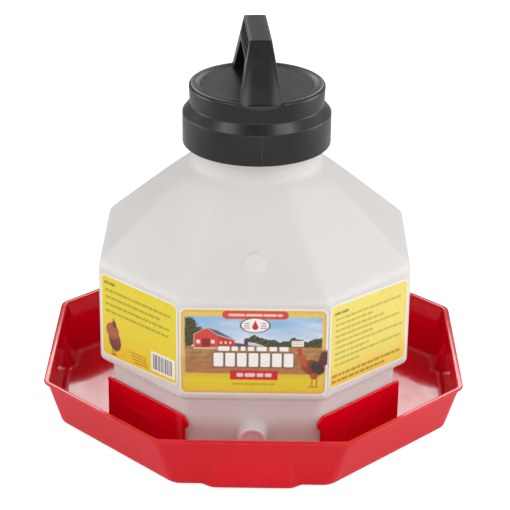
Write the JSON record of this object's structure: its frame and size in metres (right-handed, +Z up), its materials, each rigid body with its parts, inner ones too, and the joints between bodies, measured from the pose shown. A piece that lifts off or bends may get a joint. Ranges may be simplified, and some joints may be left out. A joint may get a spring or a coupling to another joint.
{
  "type": "poultry waterer fount",
  "caption": "Octagonal gravity fount: a handled screw cap seals a translucent jug that stands in a shallow drinking tray and keeps it full through a plugged spout.",
  "frame": {"origin": "centre of the tray's underside, on the ground", "axes": "+Z up through the jug's neck and cap; -Y towards the front, the side with the outlet spout, the shoulder stud and the wide sticker; +X to the right seen from the front"},
  "size_m": [0.379, 0.379, 0.359],
  "materials": {
    "tray_plastic": "glossy injection-moulded red polyethylene",
    "jug_plastic": "milky translucent blow-moulded polyethylene with a satin surface",
    "cap_plastic": "satin black injection-moulded polypropylene",
    "plug_plastic": "soft natural polyethylene",
    "seal": "soft grey sealing rubber",
    "sticker": "printed coated sticker with a slight gloss"
  },
  "bodies": {
    "tray": {"tray": "tray_plastic"},
    "jug": {"jug": "jug_plastic", "label_front": "sticker", "label_left": "sticker", "label_right": "sticker"},
    "plug": {"stop_plug": "plug_plastic"},
    "seal": {"cap_gasket": "seal"},
    "cap": {"cap": "cap_plastic"}
  },
  "joints": [
    {"name": "jug_lift", "type": "slide", "parent": "tray", "child": "jug", "axis": [0, 0, 1], "range_m": [0, 0.06]},
    {"name": "plug_pull", "type": "slide", "parent": "jug", "child": "plug", "axis": [0, -1, 0], "range_m": [0, 0.03]},
    {"name": "cap_lift", "type": "slide", "parent": "jug", "child": "seal", "axis": [0, 0, 1], "range_m": [0, 0.0101]},
    {"name": "cap_turn", "type": "hinge", "parent": "seal", "child": "cap", "pos_m": [0, 0, 0.3], "axis": [0, 0, 1], "range_deg": [0, 450]}
  ],
  "couplings": [
    {"joint": "cap_lift", "follows": "cap_turn", "m_per_rad": 0.0012732}
  ]
}
